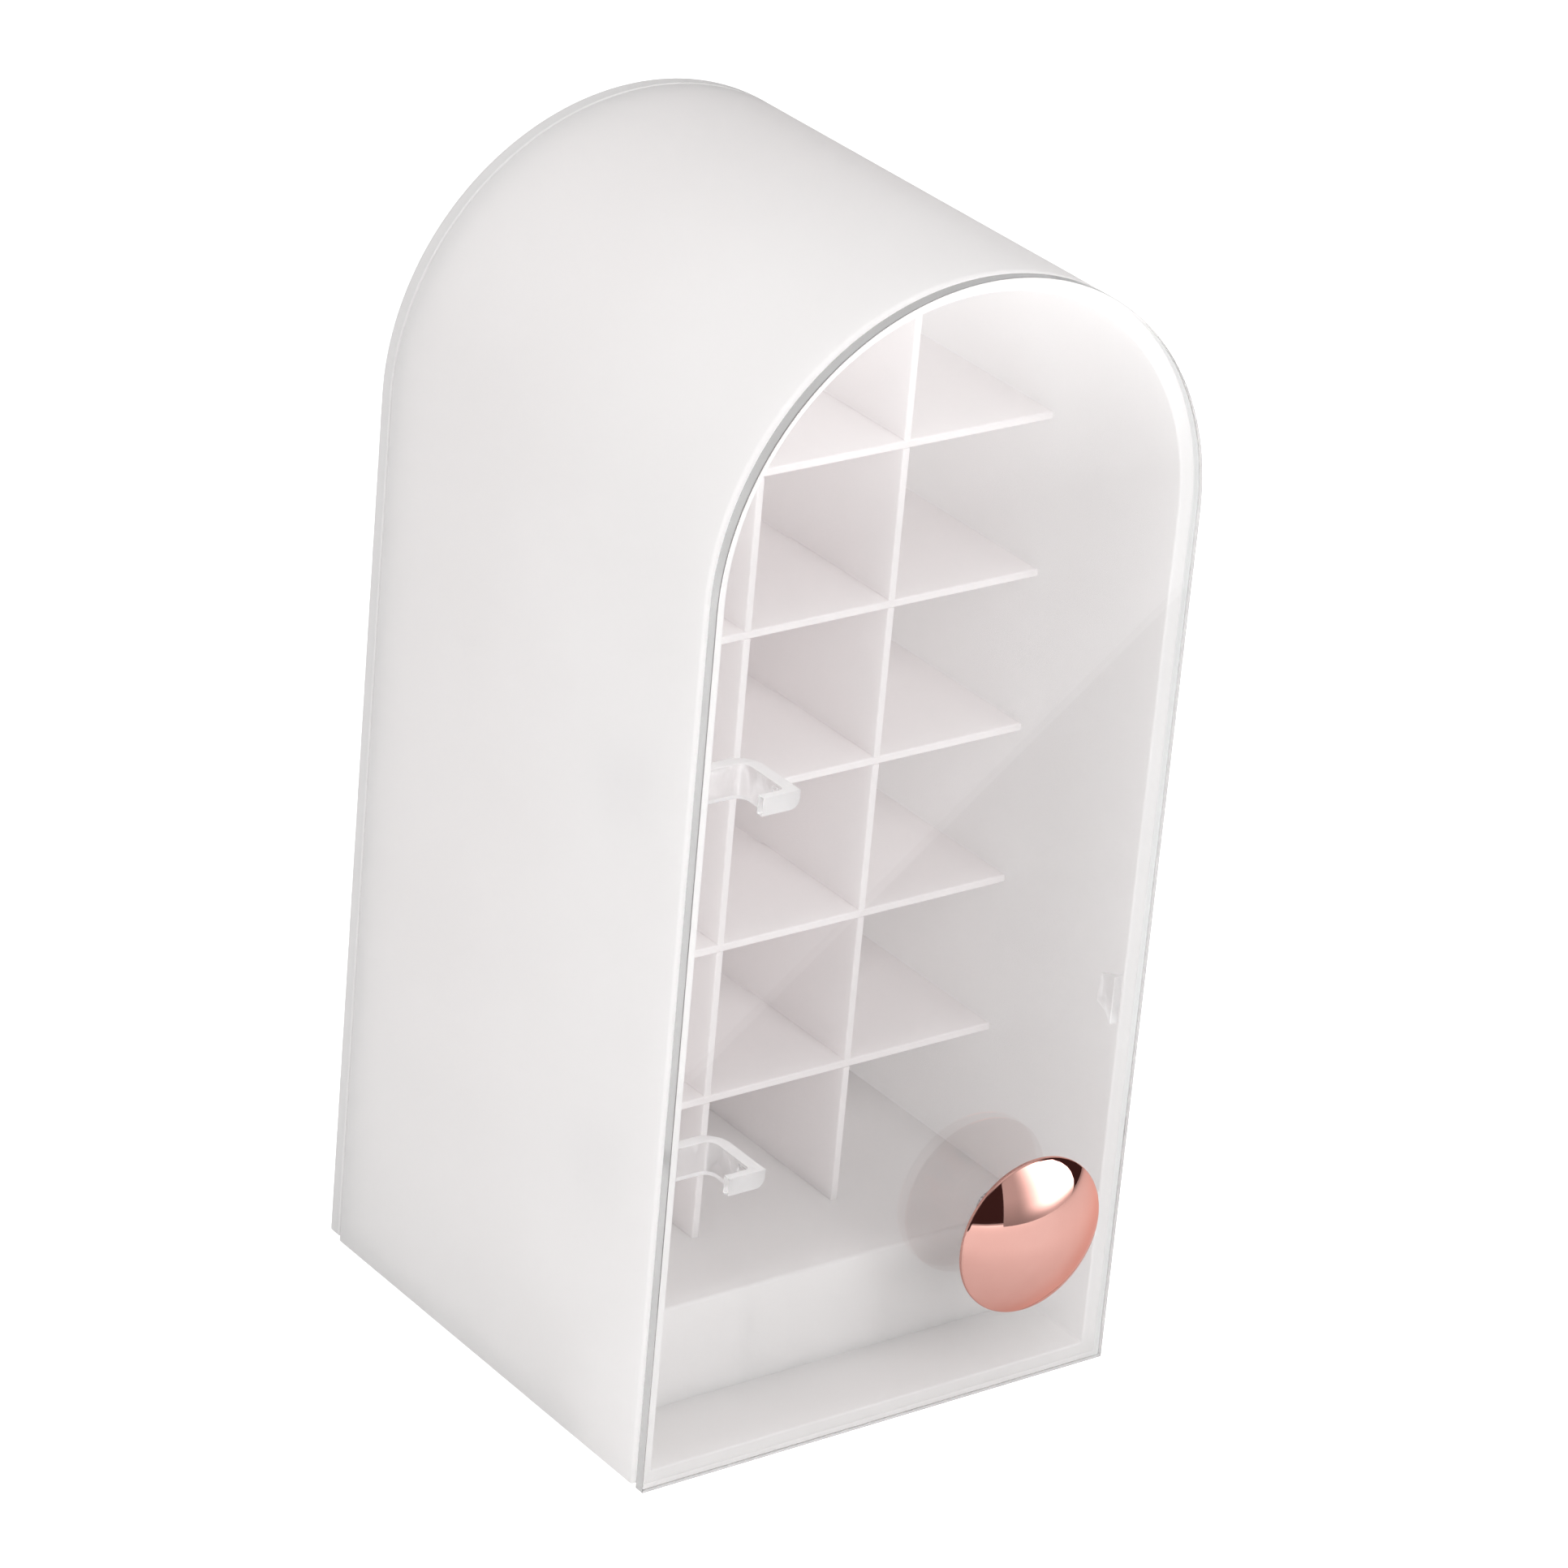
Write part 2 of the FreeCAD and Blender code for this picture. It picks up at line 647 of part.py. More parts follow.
def door_hook():
    # A springy tongue behind the door, on a thicker root, with a barb that
    # points to the casing's wall.
    body = new_body("door_hook")
    wall_side = inside - size.hook_wall
    low = under + size.hook_base
    high = low + size.hook_tall
    tip_high = tip_low + size.tip_tall
    tongue = new_sketch(body, "hook_tongue", "YZ_Plane", wall_side - size.hook_sheet)
    outline(tongue, [(door_back, low), (barb_rear, tip_low), (barb_rear, tip_high), (door_back, high)])
    pad(body, tongue, size.hook_sheet)
    root = new_sketch(body, "hook_root", "YZ_Plane", wall_side - size.root_thick)
    chord = size.hook_tall.number * 0.5
    sink = math.sqrt(size.root_round.number ** 2 - chord ** 2)
    centre = point(door_back.number - sink, low.number + chord)
    curve = outline(root, [(door_back, low), (door_back, high)], {0: centre})
    dimension(root, "Radius", size.root_round, curve)
    pad(body, root, size.root_thick)
    barb = new_sketch(body, "hook_barb", "XY_Plane", tip_low + size.barb)
    outline(barb, [
        (wall_side - size.hook_sheet * 0.5, barb_front),
        (wall_side, barb_front),
        (wall_side + size.barb, barb_front + size.barb * 0.5),
        (wall_side + size.barb, barb_rear - size.barb),
        (wall_side, barb_rear),
        (wall_side - size.hook_sheet * 0.5, barb_rear),
    ])
    pad(body, barb, size.tip_tall - size.barb * 2)


def check_model():
    doc.recompute()
    for thing in doc.Objects:
        if "Invalid" in thing.State or "Error" in thing.State:
            raise ValueError(f"{thing.Label} failed: {thing.State}")
    for node in nodes:
        shape = node.Shape
        if shape.isNull() or not shape.isValid() or len(shape.Solids) != 1:
            raise ValueError(f"{node.Label} has no sound solid")


def write_parts():
    os.makedirs("parts", exist_ok=True)
    for node in nodes:
        node.Shape.exportStep(os.path.join("parts", node.Label + ".step"))
        box = node.Shape.BoundBox
        print(f"{node.Label:20s} {node.Shape.Volume:10.1f} mm3"
              f"   {box.XLength:6.1f} x {box.YLength:6.1f} x {box.ZLength:6.1f} mm")


casing()
feet()
back_panel()
raised_base()
dividers()
shelves()
door_panel()
hinges()
knob()
knob_washer()
knob_screw()
door_hook()
check_model()
write_parts()
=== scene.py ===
import math

import bmesh
import bpy
import numpy as np
from mathutils import Matrix, Vector


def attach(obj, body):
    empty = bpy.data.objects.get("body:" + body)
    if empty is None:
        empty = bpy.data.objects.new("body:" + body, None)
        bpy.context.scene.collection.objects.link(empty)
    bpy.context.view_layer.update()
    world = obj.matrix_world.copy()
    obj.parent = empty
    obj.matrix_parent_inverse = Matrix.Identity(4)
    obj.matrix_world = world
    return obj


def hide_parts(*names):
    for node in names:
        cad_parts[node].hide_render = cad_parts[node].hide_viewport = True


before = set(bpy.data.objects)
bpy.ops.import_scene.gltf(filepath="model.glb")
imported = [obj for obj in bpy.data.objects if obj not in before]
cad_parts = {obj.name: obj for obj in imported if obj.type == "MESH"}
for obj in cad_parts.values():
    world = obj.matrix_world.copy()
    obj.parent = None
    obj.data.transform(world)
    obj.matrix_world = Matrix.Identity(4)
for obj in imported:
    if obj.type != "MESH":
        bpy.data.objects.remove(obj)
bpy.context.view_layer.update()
scene = bpy.context.scene
mm = 0.001
mergeReach = 1e-7  # metres: points nearer than this are one
print("frame loaded:", len(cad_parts), "nodes")

# Sizes below are millimetres in the CAD frame: X right, Y back, Z up.


# Arch: a level foot, an upright right side, a half circle about the spring
# height and an upright left side. The two foot corners are quarter circles.
def archOutline(radius, low, spring, corner, arcSteps=96, cornerSteps=5, sideSteps=10):
    quarter = np.linspace(0, np.pi / 2, cornerSteps + 1)
    half = np.linspace(0, np.pi, arcSteps + 1)
    reach = radius - corner
    rightCorner = np.column_stack([reach + corner * np.sin(quarter), low + corner * (1 - np.cos(quarter))])
    leftCorner = np.column_stack([-reach - corner * np.cos(quarter), low + corner * (1 - np.sin(quarter))])
    foot = np.linspace(-reach, reach, sideSteps + 1)[1:-1]
    side = np.linspace(low + corner, spring, sideSteps + 1)[1:-1]
    return np.vstack([
        np.column_stack([foot, np.full(foot.size, low)]),
        rightCorner,
        np.column_stack([np.full(side.size, radius), side]),
        np.column_stack([radius * np.cos(half), spring + radius * np.sin(half)]),
        np.column_stack([np.full(side.size, -radius), side[::-1]]),
        leftCorner,
    ])


# Polygon with some corners rounded: a corner of radius r is cut back along both
# sides by r / tan(half its angle), and the arc between runs about the point on
# the bisector at r / sin(half its angle).
def roundCorners(corners, radii, steps=8):
    corners = np.asarray(corners, float)
    pieces = []
    for i, corner in enumerate(corners):
        if not radii.get(i):
            pieces.append(corner[None])
            continue
        toward = corners[[i - 1, (i + 1) % len(corners)]] - corner
        toward /= np.linalg.norm(toward, axis=1, keepdims=True)
        bisector = toward.sum(0) / np.linalg.norm(toward.sum(0))
        halfAngle = math.acos(float(toward[0] @ toward[1])) / 2
        centre = corner + bisector * radii[i] / math.sin(halfAngle)
        ends = corner + toward * radii[i] / math.tan(halfAngle) - centre
        sweep = np.pi - 2 * halfAngle
        share = np.linspace(0, 1, steps + 1)[:, None]
        arc = np.sin((1 - share) * sweep) * ends[0] + np.sin(share * sweep) * ends[1]
        pieces.append(centre + arc / math.sin(sweep))
    return np.vstack(pieces)


# Inset: each point moves inward along its mitre, the sum of the normals of its
# two sides over one plus their product. The outline runs counter-clockwise.
def insetOutline(outline, distance):
    ahead = np.roll(outline, -1, axis=0) - outline
    ahead /= np.linalg.norm(ahead, axis=1, keepdims=True)
    normal = np.column_stack([-ahead[:, 1], ahead[:, 0]])
    before = np.roll(normal, 1, axis=0)
    return outline + distance * (normal + before) / (1 + (normal * before).sum(1, keepdims=True))


# Edge section from one face of a plate to the other: (inset, height) rows with a
# quarter circle at each edge and a narrow flat row beside each arc, so that the
# smooth shading of the arc stays off the flat faces.
def edgeSection(low, high, roundLow, roundHigh, steps=4, beside=0.05):
    turn = np.linspace(0, np.pi / 2, steps + 1)
    lowArc = np.column_stack([roundLow * (1 - np.sin(turn)), low + roundLow * (1 - np.cos(turn))])
    highArc = np.column_stack([roundHigh * (1 - np.cos(turn)), high - roundHigh * (1 - np.sin(turn))])
    return np.vstack([
        [[roundLow + beside, low]], lowArc, [[0, low + roundLow + beside]],
        [[0, high - roundHigh - beside]], highArc, [[roundHigh + beside, high]],
    ])


# A flat outline at a height across it becomes points in space.
def layOut(outline, height, plane):
    level = np.full(len(outline), float(height))
    columns = {"XY": (outline[:, 0], outline[:, 1], level),
               "XZ": (outline[:, 0], level, outline[:, 1]),
               "YZ": (level, outline[:, 0], outline[:, 1])}
    return np.column_stack(columns[plane])


# Skin over a stack of rings: point j of ring i is joined to its neighbours in
# the ring and in the next ring. A loop joins the last ring to the first, and
# otherwise a flat face closes each end.
def skinRings(rings, loop=False):
    rings = np.asarray(rings)
    ringCount, pointCount = rings.shape[:2]
    around = np.arange(pointCount)
    following = np.roll(around, -1)
    lower = np.arange(ringCount if loop else ringCount - 1)[:, None]
    upper = (lower + 1) % ringCount
    quads = np.stack([lower * pointCount + around, lower * pointCount + following,
                      upper * pointCount + following, upper * pointCount + around], axis=-1)
    faces = quads.reshape(-1, 4).tolist()
    if not loop:
        faces += [around[::-1].tolist(), (around + (ringCount - 1) * pointCount).tolist()]
    return rings.reshape(-1, 3), faces


# Plate: the outline inset by the edge section's first column, at the height in
# its second column.
def plateShell(outline, section, plane):
    return skinRings([layOut(insetOutline(outline, inset), height, plane) for inset, height in section])


# Turned shape: each (radius, distance along the axis) row of the profile makes
# a circle about an axis parallel to Y.
def turnedShell(profile, axisX, axisZ, steps=160):
    turn = np.linspace(0, 2 * np.pi, steps, endpoint=False)
    circle = np.column_stack([np.cos(turn), np.sin(turn)])
    return skinRings([layOut(radius * circle + [axisX, axisZ], along, "XZ") for radius, along in profile])


# One mesh from closed shells, faces outward, sharp above the given angle.
def makePiece(name, shells, material, body, replaced, sharpAngle=40):
    points = np.vstack([shell[0] for shell in shells]) * mm
    faces = []
    start = 0
    for shellPoints, shellFaces in shells:
        faces += [[start + corner for corner in face] for face in shellFaces]
        start += len(shellPoints)
    mesh = bpy.data.meshes.new(name)
    mesh.from_pydata(points, [], faces)
    work = bmesh.new()
    work.from_mesh(mesh)
    bmesh.ops.remove_doubles(work, verts=work.verts, dist=mergeReach)
    bmesh.ops.recalc_face_normals(work, faces=work.faces)
    work.to_mesh(mesh)
    work.free()
    mesh.shade_smooth()
    mesh.set_sharp_from_angle(angle=math.radians(sharpAngle))
    mesh.materials.append(material)
    piece = bpy.data.objects.new(name, mesh)
    scene.collection.objects.link(piece)
    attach(piece, body)
    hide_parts(*replaced)
    return piece


# A node with its settings, each on the node itself or else on its socket.
def addNode(material, kind, **settings):
    node = material.node_tree.nodes.new(kind)
    for key, value in settings.items():
        if hasattr(node, key):
            setattr(node, key, value)
        else:
            node.inputs[key.replace("_", " ")].default_value = value
    return node


# A link from one node's output to another's input, by name or by number.
def join(material, source, sourceName, target, targetName):
    material.node_tree.links.new(source.outputs[sourceName], target.inputs[targetName])


# Two shaders mixed: a share of 0 is all the first, 1 all the second.
def mixShaders(material, first, second, share=0.5):
    mix = addNode(material, "ShaderNodeMixShader", Fac=share)
    join(material, first, 0, mix, 1)
    join(material, second, 0, mix, 2)
    return mix


# Noise on the object's own coordinates, with grains of the given size in mm.
def noiseOf(material, coordinates, grain, detail=3.0):
    noise = addNode(material, "ShaderNodeTexNoise", Scale=1 / (grain * mm), Detail=detail)
    join(material, coordinates, "Object", noise, "Vector")
    return noise


noiseRange = (0.3, 0.7)  # nearly all of the noise's values lie between these


# The noise spread between two values.
def noiseBetween(material, coordinates, grain, low, high, detail=3.0):
    noise = noiseOf(material, coordinates, grain, detail)
    spread = addNode(material, "ShaderNodeMapRange", From_Min=noiseRange[0], From_Max=noiseRange[1],
                     To_Min=low, To_Max=high)
    join(material, noise, "Fac", spread, "Value")
    return spread


# The noise spread between two colours.
def noiseTint(material, coordinates, grain, low, high):
    noise = noiseOf(material, coordinates, grain)
    ramp = addNode(material, "ShaderNodeValToRGB")
    for element, place, colour in zip(ramp.color_ramp.elements, noiseRange, (low, high)):
        element.position = place
        element.color = (*colour, 1)
    join(material, noise, "Fac", ramp, "Fac")
    return ramp


# The faces whose normal and centre pass the test take another finish.
def finishFaces(piece, material, chosen):
    mesh = piece.data
    normals = np.empty(len(mesh.polygons) * 3)
    centres = np.empty(len(mesh.polygons) * 3)
    mesh.polygons.foreach_get("normal", normals)
    mesh.polygons.foreach_get("center", centres)
    slots = np.empty(len(mesh.polygons), np.int32)
    mesh.polygons.foreach_get("material_index", slots)
    passed = chosen(normals.reshape(-1, 3), centres.reshape(-1, 3) / mm)
    slots[passed] = len(mesh.materials)
    mesh.polygons.foreach_set("material_index", slots)
    mesh.materials.append(material)


# Each finish: tints are linear colours, grains are the noises' sizes in mm.
finishes = {
    "casingPlastic": {
        "tintLow": (0.902, 0.898, 0.894), "tintHigh": (0.917, 0.914, 0.911), "tintGrain": 38.0,
        "roughLow": 0.36, "roughHigh": 0.44, "roughGrain": 9.0,
        "bumpGrain": 3.0, "bumpDepth": 0.0008, "waveGrain": 26.0, "waveDepth": 0.02,
        "values": {"IOR": 1.49}, "through": 0.42, "throughTint": (0.970, 0.952, 0.951),
    },
    "gridPlastic": {
        "tintLow": (0.915, 0.906, 0.905), "tintHigh": (0.930, 0.922, 0.921), "tintGrain": 30.0,
        "roughLow": 0.28, "roughHigh": 0.36, "roughGrain": 8.0,
        "bumpGrain": 2.5, "bumpDepth": 0.0008, "waveGrain": 18.0, "waveDepth": 0.012,
        "values": {"IOR": 1.52}, "through": 0.50, "throughTint": (0.975, 0.949, 0.951),
    },
    "clearAcrylic": {
        "tintLow": (0.975, 0.975, 0.975), "tintHigh": (0.985, 0.985, 0.985), "tintGrain": 30.0,
        "roughLow": 0.0, "roughHigh": 0.012, "roughGrain": 14.0,
        "bumpGrain": 9.0, "bumpDepth": 0.0001, "waveGrain": 45.0, "waveDepth": 0.003,
        "values": {"IOR": 1.49, "Transmission Weight": 1.0}, "clear": True,
    },
    # Grey and half clear: painted shade for the dark look that light bent inside the sheet gives the door's
    # edges.
    "acrylicEdgePaintedShade": {
        "tintLow": (0.64, 0.635, 0.632), "tintHigh": (0.69, 0.685, 0.682), "tintGrain": 12.0,
        "roughLow": 0.10, "roughHigh": 0.18, "roughGrain": 9.0,
        "bumpGrain": 6.0, "bumpDepth": 0.0001, "waveGrain": 40.0, "waveDepth": 0.001,
        "values": {"IOR": 1.49, "Transmission Weight": 0.5}, "clear": True,
    },
    "clearFitting": {
        "tintLow": (0.95, 0.952, 0.956), "tintHigh": (0.985, 0.985, 0.988), "tintGrain": 3.0,
        "roughLow": 0.10, "roughHigh": 0.2, "roughGrain": 2.5,
        "bumpGrain": 0.8, "bumpDepth": 0.004, "waveGrain": 4.0, "waveDepth": 0.03,
        "values": {"IOR": 1.46, "Transmission Weight": 0.93}, "clear": True,
    },
    # Whiter and less clear: a painted highlight on the level faces and rounded edges of the clear fittings.
    "paintedHighlight": {
        "tintLow": (0.93, 0.925, 0.925), "tintHigh": (0.97, 0.965, 0.965), "tintGrain": 2.0,
        "roughLow": 0.35, "roughHigh": 0.5, "roughGrain": 1.5,
        "bumpGrain": 0.6, "bumpDepth": 0.006, "waveGrain": 4.0, "waveDepth": 0.02,
        "values": {"IOR": 1.46, "Transmission Weight": 0.2}, "clear": True,
    },
    "milkyFitting": {
        "tintLow": (0.90, 0.895, 0.895), "tintHigh": (0.95, 0.945, 0.945), "tintGrain": 2.0,
        "roughLow": 0.4, "roughHigh": 0.55, "roughGrain": 1.5,
        "bumpGrain": 0.6, "bumpDepth": 0.004, "waveGrain": 4.0, "waveDepth": 0.02,
        "values": {"IOR": 1.4, "Transmission Weight": 0.75}, "clear": True,
    },
    "clearSilicone": {
        "tintLow": (0.86, 0.86, 0.85), "tintHigh": (0.93, 0.93, 0.92), "tintGrain": 2.0,
        "roughLow": 0.4, "roughHigh": 0.55, "roughGrain": 1.0,
        "bumpGrain": 0.3, "bumpDepth": 0.02, "waveGrain": 3.0, "waveDepth": 0.02,
        "values": {"IOR": 1.41, "Transmission Weight": 0.7}, "clear": True,
    },
    "roseGold": {
        "tintLow": (0.645, 0.350, 0.303), "tintHigh": (0.670, 0.375, 0.328), "tintGrain": 9.0,
        "roughLow": 0.02, "roughHigh": 0.05, "roughGrain": 3.0,
        "bumpGrain": 1.2, "bumpDepth": 0.0003, "waveGrain": 8.0, "waveDepth": 0.003,
        "values": {"Metallic": 1.0, "Specular Tint": (0.93, 0.58, 0.52, 1)},
    },
    "screwSteel": {
        "tintLow": (0.56, 0.56, 0.57), "tintHigh": (0.66, 0.66, 0.67), "tintGrain": 1.5,
        "roughLow": 0.22, "roughHigh": 0.36, "roughGrain": 0.5,
        "bumpGrain": 0.25, "bumpDepth": 0.01, "waveGrain": 2.0, "waveDepth": 0.01,
        "values": {"Metallic": 0.6},
    },
}


# A moulded or turned surface: a slow tint, a roughness that wanders, a fine
# grain and a long shallow wave. White plastic lets a share of the light through.
# A clear finish passes lamplight and bounced light straight on, because a thin
# clear wall hardly bends either.
def makeFinish(name, look):
    material = bpy.data.materials.new(name)
    material.use_nodes = True
    nodes = material.node_tree.nodes
    shader = nodes["Principled BSDF"]
    coordinates = addNode(material, "ShaderNodeTexCoord")
    tint = noiseTint(material, coordinates, look["tintGrain"], look["tintLow"], look["tintHigh"])
    join(material, tint, "Color", shader, "Base Color")
    rough = noiseBetween(material, coordinates, look["roughGrain"], look["roughLow"], look["roughHigh"])
    join(material, rough, "Result", shader, "Roughness")
    grain = noiseBetween(material, coordinates, look["bumpGrain"], 0.0, look["bumpDepth"] * mm)
    wave = noiseBetween(material, coordinates, look["waveGrain"], 0.0, look["waveDepth"] * mm, detail=1.0)
    height = addNode(material, "ShaderNodeMath", operation="ADD")
    join(material, grain, "Result", height, 0)
    join(material, wave, "Result", height, 1)
    bump = addNode(material, "ShaderNodeBump", Strength=1.0, Distance=1.0)
    join(material, height, "Value", bump, "Height")
    join(material, bump, "Normal", shader, "Normal")
    for key, value in look["values"].items():
        shader.inputs[key].default_value = value
    surface = shader
    if "through" in look:
        glow = addNode(material, "ShaderNodeBsdfTranslucent", Color=(*look["throughTint"], 1))
        surface = mixShaders(material, shader, glow, look["through"])
    if look.get("clear"):
        ray = addNode(material, "ShaderNodeLightPath")
        either = addNode(material, "ShaderNodeMath", operation="MAXIMUM")
        passing = addNode(material, "ShaderNodeBsdfTransparent", Color=(*look["tintHigh"], 1))
        surface = mixShaders(material, shader, passing)
        join(material, ray, "Is Shadow Ray", either, 0)
        join(material, ray, "Is Diffuse Ray", either, 1)
        join(material, either, "Value", surface, "Fac")
    join(material, surface, 0, nodes["Material Output"], "Surface")
    return material


finish = {name: makeFinish(name, look) for name, look in finishes.items()}
print("finishes made:", len(finish))

archSizes = {
    "radius": 55.0, "low": 0.8, "spring": 182.8, "wall": 3.5, "floorTop": 3.8,
    "rim": -44.75, "seam": 59.75, "rear": 63.25, "corner": 0.35,
    "rimRound": 0.8, "innerRound": 0.4, "seamChamfer": 0.4, "beside": 0.06, "rimSteps": 5,
}


# The casing is a section carried round the arch: each (depth into the wall, y)
# row lies that share of the way from the outer outline to the inner one.
def casingShell(s):
    outer = archOutline(s["radius"], s["low"], s["spring"], s["corner"])
    inner = archOutline(s["radius"] - s["wall"], s["floorTop"], s["spring"], s["corner"])
    turn = np.linspace(0, np.pi / 2, s["rimSteps"] + 1)
    wall, rim, seam, beside = s["wall"], s["rim"], s["seam"], s["beside"]
    outerRound, innerRound, chamfer = s["rimRound"], s["innerRound"], s["seamChamfer"]
    section = np.vstack([
        [[0, seam - chamfer], [0, seam - chamfer - beside], [0, 0], [0, rim + outerRound + beside]],
        np.column_stack([outerRound * (1 - np.cos(turn)), rim + outerRound * (1 - np.sin(turn))]),
        [[outerRound + beside, rim], [wall - innerRound - beside, rim]],
        np.column_stack([wall - innerRound * (1 - np.sin(turn)), rim + innerRound * (1 - np.cos(turn))]),
        [[wall, rim + innerRound + beside], [wall, 0], [wall, seam], [chamfer, seam]],
    ])
    rings = [layOut(outer + (inner - outer) * depth / wall, y, "XZ") for depth, y in section]
    return skinRings(rings, loop=True)


ridgeSizes = {
    "front": -42.99, "rear": -41.59, "low": 78.4, "high": 84.2, "crest": 51.0, "root": 51.8,
    "slope": 0.3, "edge": 0.1,
}


# The ridge that the hook snaps behind: a low bar on the right wall.
def ridgeShell(s):
    outline = [(s["root"], s["front"]), (s["root"], s["rear"]),
               (s["crest"] + s["slope"], s["rear"]), (s["crest"], s["rear"] - s["slope"]),
               (s["crest"], s["front"] + s["slope"]), (s["crest"] + s["slope"], s["front"])]
    return plateShell(np.array(outline), edgeSection(s["low"], s["high"], s["edge"], s["edge"]), "XY")


makePiece("casing_shell", [casingShell(archSizes), ridgeShell(ridgeSizes)],
          finish["casingPlastic"], "cabinet", ["casing"])

panelSizes = {
    "low": 1.8, "stepRadius": 51.35, "stepLow": 3.95, "stepDeep": 1.0, "rearRound": 0.8, "arcSteps": 6,
}


# The back panel: the rounded rear edge, the seam edge, whose arc is cut short by
# a chamfer, and then the low step that enters the casing, all rings between
# matched arch outlines.
def backPanelShell(s, arch):
    outer = archOutline(arch["radius"], s["low"], arch["spring"], arch["corner"])
    step = archOutline(s["stepRadius"], s["stepLow"], arch["spring"], arch["corner"])
    section = edgeSection(arch["seam"], arch["rear"], arch["seamChamfer"], s["rearRound"], s["arcSteps"])
    rings = [layOut(insetOutline(outer, inset), y, "XZ") for inset, y in section[:s["arcSteps"] - 1:-1]]
    rings.append(layOut(insetOutline(outer, arch["seamChamfer"]), arch["seam"], "XZ"))
    rings.append(layOut(step, arch["seam"], "XZ"))
    rings.append(layOut(step, arch["seam"] - s["stepDeep"], "XZ"))
    return skinRings(rings)


makePiece("back_plate", [backPanelShell(panelSizes, archSizes)],
          finish["casingPlastic"], "cabinet", ["back_panel"])
print("casing and back panel made")

gridSizes = {
    "front": -6.05, "middle": 26.275, "rear": 58.6, "sheet": 1.6, "slotHalf": 0.85, "edge": 0.3,
    "columns": (-16.65, 16.65), "low": 25.5, "high": 231.1,
    "levels": (56.0, 88.8, 121.6, 154.4, 187.2), "halfWidth": 51.35, "topHalfWidth": 51.05,
}


# Upright sheet: a rectangle with a slot from the front to the middle at every
# shelf, read from the top down.
def dividerOutline(s):
    slots = [[(s["front"], z + s["slotHalf"]), (s["middle"], z + s["slotHalf"]),
              (s["middle"], z - s["slotHalf"]), (s["front"], z - s["slotHalf"])] for z in s["levels"][::-1]]
    corners = [(s["front"], s["low"]), (s["rear"], s["low"]),
               (s["rear"], s["high"]), (s["front"], s["high"])]
    return np.array(corners + sum(slots, []))


# Level sheet: a rectangle with a slot from the rear to the middle at each
# divider, read from the right to the left.
def shelfOutline(s, halfWidth):
    slots = [[(x + s["slotHalf"], s["rear"]), (x + s["slotHalf"], s["middle"]),
              (x - s["slotHalf"], s["middle"]), (x - s["slotHalf"], s["rear"])] for x in s["columns"][::-1]]
    corners = [(-halfWidth, s["front"]), (halfWidth, s["front"]), (halfWidth, s["rear"])]
    return np.array(corners + sum(slots, []) + [(-halfWidth, s["rear"])])


# The rounded edge section of a sheet about its middle plane.
def sheetSection(s, middle):
    half = s["sheet"] / 2
    return edgeSection(middle - half, middle + half, s["edge"], s["edge"])


for side, x in zip(("left", "right"), gridSizes["columns"]):
    upright = plateShell(dividerOutline(gridSizes), sheetSection(gridSizes, x), "YZ")
    makePiece("divider_sheet_" + side, [upright],
              finish["gridPlastic"], "cabinet", ["divider_" + side])
for row, z in enumerate(gridSizes["levels"], start=1):
    halfWidth = gridSizes["topHalfWidth"] if row == len(gridSizes["levels"]) else gridSizes["halfWidth"]
    level = plateShell(shelfOutline(gridSizes, halfWidth), sheetSection(gridSizes, z), "XY")
    makePiece(f"shelf_sheet_{row}", [level],
              finish["gridPlastic"], "cabinet", [f"shelf_{row}"])
print("grid made")

# The door's faces stand 0.03 mm inside the sheet's, so that light is kept in it
# also where a fitting sits on it.
doorSizes = {
    "front": -48.22, "back": -45.78, "edge": 0.3, "holeX": 25.6, "holeZ": 40.6, "hole": 2.15,
    "edgeSteps": 5, "edgeFacing": 0.5,
}


# The door: rounded edges between two flat faces, each face ruled from the arch
# to the knob's hole, and the hole's wall closing the loop.
def doorShell(s, arch):
    outline = archOutline(arch["radius"], arch["low"], arch["spring"], arch["corner"])
    centre = np.array([s["holeX"], s["holeZ"]])
    away = outline - centre
    hole = centre + away * s["hole"] / np.linalg.norm(away, axis=1, keepdims=True)
    section = edgeSection(s["front"], s["back"], s["edge"], s["edge"], s["edgeSteps"])
    rings = [layOut(insetOutline(outline, inset), y, "XZ") for inset, y in section]
    return skinRings([layOut(hole, s["front"], "XZ")] + rings + [layOut(hole, s["back"], "XZ")], loop=True)


# The narrow faces round the door and in its hole, which take a grey finish as painted shade.
def narrowFaces(normal, centre):
    return abs(normal[:, 1]) < doorSizes["edgeFacing"]


door = makePiece("door_sheet", [doorShell(doorSizes, archSizes)],
                 finish["clearAcrylic"], "door", ["door_panel"])
# The door's narrow faces are painted grey as shade.
finishFaces(door, finish["acrylicEdgePaintedShade"], narrowFaces)

# The last two say how squarely a face looks along an axis, 1 being wholly.
softSizes = {
    "edge": 0.2, "flatAngle": 1, "sharpAngle": 35, "steps": 3, "onDoorReach": 0.2,
    "squareFacing": 0.9, "bevelFacing": 0.97,
}


